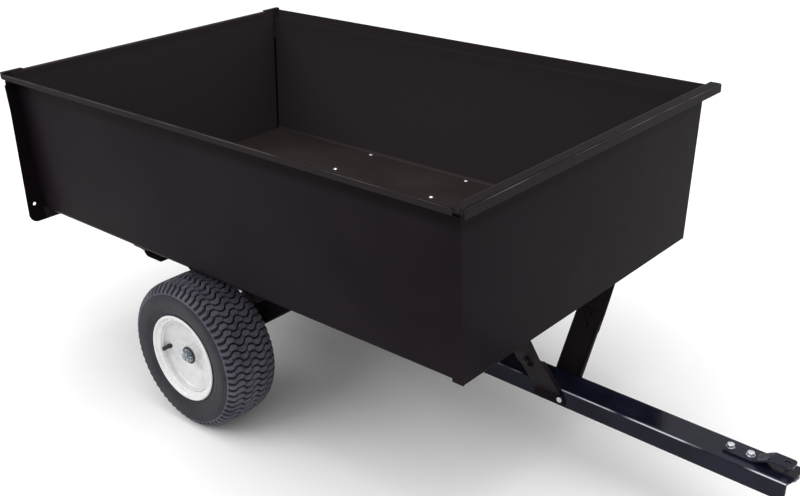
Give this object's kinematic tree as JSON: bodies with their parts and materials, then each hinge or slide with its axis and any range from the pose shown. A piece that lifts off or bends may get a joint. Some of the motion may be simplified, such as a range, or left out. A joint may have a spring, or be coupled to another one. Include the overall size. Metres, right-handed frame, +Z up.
{
  "type": "garden cart",
  "caption": "Steel tow-behind garden dump cart: flared tub that tips on its axle, lift-out tailgate, channel tongue with a pin hitch, splayed front support legs and pneumatic wheels.",
  "frame": {"origin": "on the ground, under the middle of the cart's length and width", "axes": "+X forward to the hitch, +Y to the cart's left, +Z up"},
  "size_m": [2.1089, 1.061, 0.8519],
  "materials": {
    "black_paint": "smooth satin-gloss black enamel",
    "tongue_paint": "high-gloss black enamel",
    "zinc_steel": "bright zinc plate",
    "white_paint": "gloss white enamel",
    "tyre_rubber": "matt moulded rubber",
    "valve_rubber": "smooth black rubber",
    "black_plastic": "moulded black nylon"
  },
  "bodies": {
    "chassis": {"tongue": "tongue_paint", "hitch_strap": "tongue_paint", "hitch_bolts": "zinc_steel", "hitch_washers": "zinc_steel", "hitch_nuts": "zinc_steel", "rest_bolt": "zinc_steel", "rest_nut": "zinc_steel", "axle": "zinc_steel", "axle_spacers": "black_paint", "wheel_spacers": "black_paint", "axle_washers": "zinc_steel", "cotter_pins": "zinc_steel"},
    "tub": {"tub_shell": "black_paint", "rear_frame": "black_paint", "front_panel": "black_paint", "crossmember_front": "black_paint", "crossmember_rear": "black_paint", "floor_bolts": "zinc_steel", "floor_nuts": "zinc_steel", "axle_bracket_left": "black_paint", "axle_bracket_right": "black_paint", "bracket_bolts": "zinc_steel", "bracket_nuts": "zinc_steel", "support_strap_left": "black_paint", "support_strap_right": "black_paint", "support_leg_left": "black_paint", "support_leg_right": "black_paint", "leg_bolts": "black_paint", "leg_nuts": "black_paint", "strap_bolts": "zinc_steel", "strap_nuts": "zinc_steel", "tailgate_guide_left": "black_paint", "tailgate_guide_right": "black_paint", "tailgate_sill": "black_paint"},
    "tailgate": {"tailgate_panel": "black_paint", "tailgate_cap_left": "black_paint", "tailgate_cap_right": "black_paint"},
    "wheel_left": {"wheel_rim_left": "white_paint", "wheel_disc_left": "white_paint", "wheel_hub_left": "white_paint", "hub_bushings_left": "black_plastic", "tyre_left": "tyre_rubber", "valve_stem_left": "valve_rubber"},
    "wheel_right": {"wheel_rim_right": "white_paint", "wheel_disc_right": "white_paint", "wheel_hub_right": "white_paint", "hub_bushings_right": "black_plastic", "tyre_right": "tyre_rubber", "valve_stem_right": "valve_rubber"}
  },
  "joints": [
    {"name": "tub_tilt", "type": "hinge", "parent": "chassis", "child": "tub", "pos_m": [-0.3615, 0, 0.203], "axis": [0, -1, 0], "range_deg": [0, 30]},
    {"name": "tailgate_lift", "type": "slide", "parent": "tub", "child": "tailgate", "axis": [0, 0, 1], "range_m": [0, 0.42]},
    {"name": "wheel_left_spin", "type": "hinge", "parent": "chassis", "child": "wheel_left", "pos_m": [-0.3615, 0.448, 0.203], "axis": [0, 1, 0], "continuous": true},
    {"name": "wheel_right_spin", "type": "hinge", "parent": "chassis", "child": "wheel_right", "pos_m": [-0.3615, -0.448, 0.203], "axis": [0, 1, 0], "continuous": true}
  ]
}
